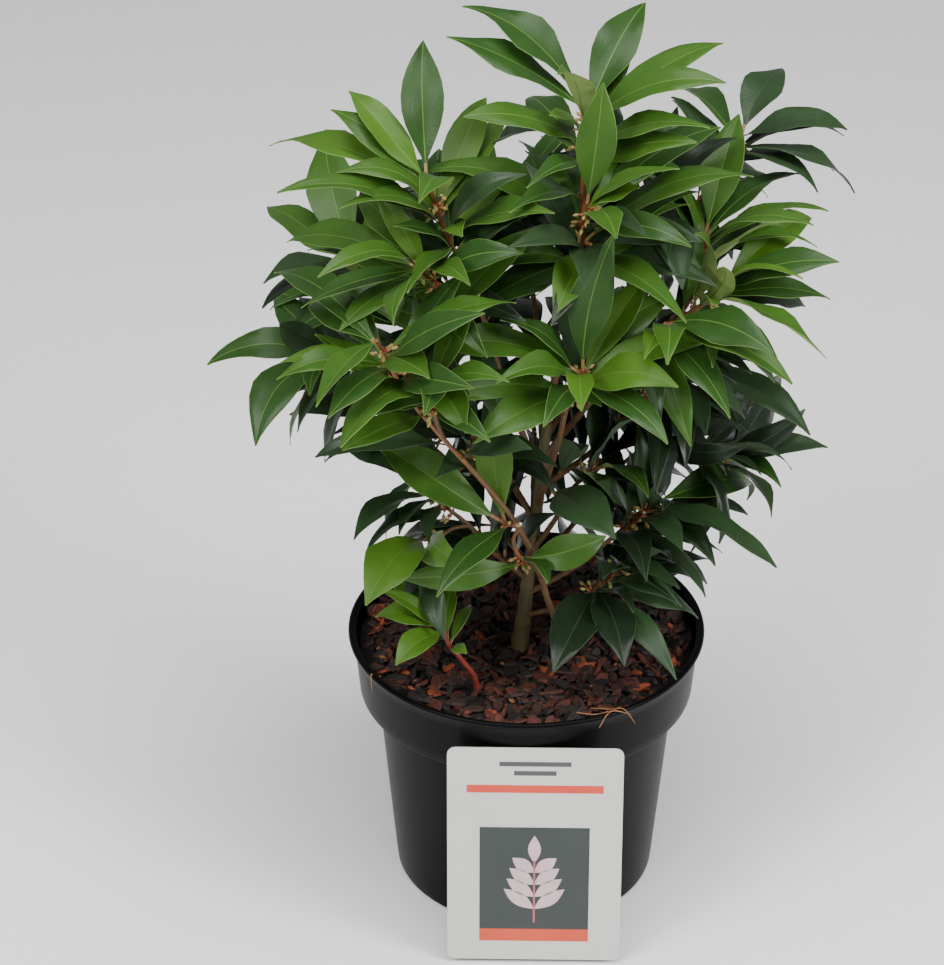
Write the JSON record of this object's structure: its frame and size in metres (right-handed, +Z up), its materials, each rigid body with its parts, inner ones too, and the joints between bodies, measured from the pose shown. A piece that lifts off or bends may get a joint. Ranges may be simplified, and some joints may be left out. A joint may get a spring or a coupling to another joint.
{
  "type": "potted winter gem sweet box",
  "caption": "Young evergreen flowering shrub with lance-shaped glossy leaves, in a round black nursery pot with bark mulch and a plain plant label",
  "frame": {"origin": "centre of the flat underside of the pot, on the surface that it stands on", "axes": "+Z up; -Y is the side with the label, +X to its right"},
  "size_m": [0.3928, 0.3325, 0.5853],
  "materials": {
    "bark": "smooth olive young bark, red-brown on the youngest shoots",
    "leaves_fresh": "fresh green glossy leaf",
    "leaves_mid": "mid green glossy leaf",
    "leaves_old": "dark green older leaf",
    "black_plastic": "satin black moulded polypropylene",
    "bark_mulch": "red-brown chipped bark over dark soil",
    "label_card": "printed plastic card"
  },
  "bodies": {
    "root": {"bough_back": "bark", "bough_back_left": "bark", "bough_back_left_low": "bark", "bough_back_low": "bark", "bough_back_right": "bark", "bough_back_right_low": "bark", "bough_front": "bark", "bough_leader": "bark", "bough_left_front": "bark", "bough_left_low": "bark", "bough_left_upper": "bark", "bough_middle": "bark", "bough_right": "bark", "bough_right_foot": "bark", "bough_right_low": "bark", "bough_right_middle": "bark", "label": "label_card", "mass_back": "leaves_mid", "mass_back_left": "leaves_mid", "mass_back_left_low": "leaves_old", "mass_back_low": "leaves_old", "mass_back_right": "leaves_old", "mass_back_right_low": "leaves_old", "mass_front": "leaves_fresh", "mass_leader": "leaves_fresh", "mass_left_front": "leaves_fresh", "mass_left_low": "leaves_old", "mass_left_upper": "leaves_fresh", "mass_middle": "leaves_old", "mass_right": "leaves_fresh", "mass_right_foot": "leaves_old", "mass_right_low": "leaves_old", "mass_right_middle": "leaves_old", "mass_sucker": "leaves_fresh", "pot": "black_plastic", "soil": "bark_mulch", "trunk": "bark"}
  },
  "joints": []
}
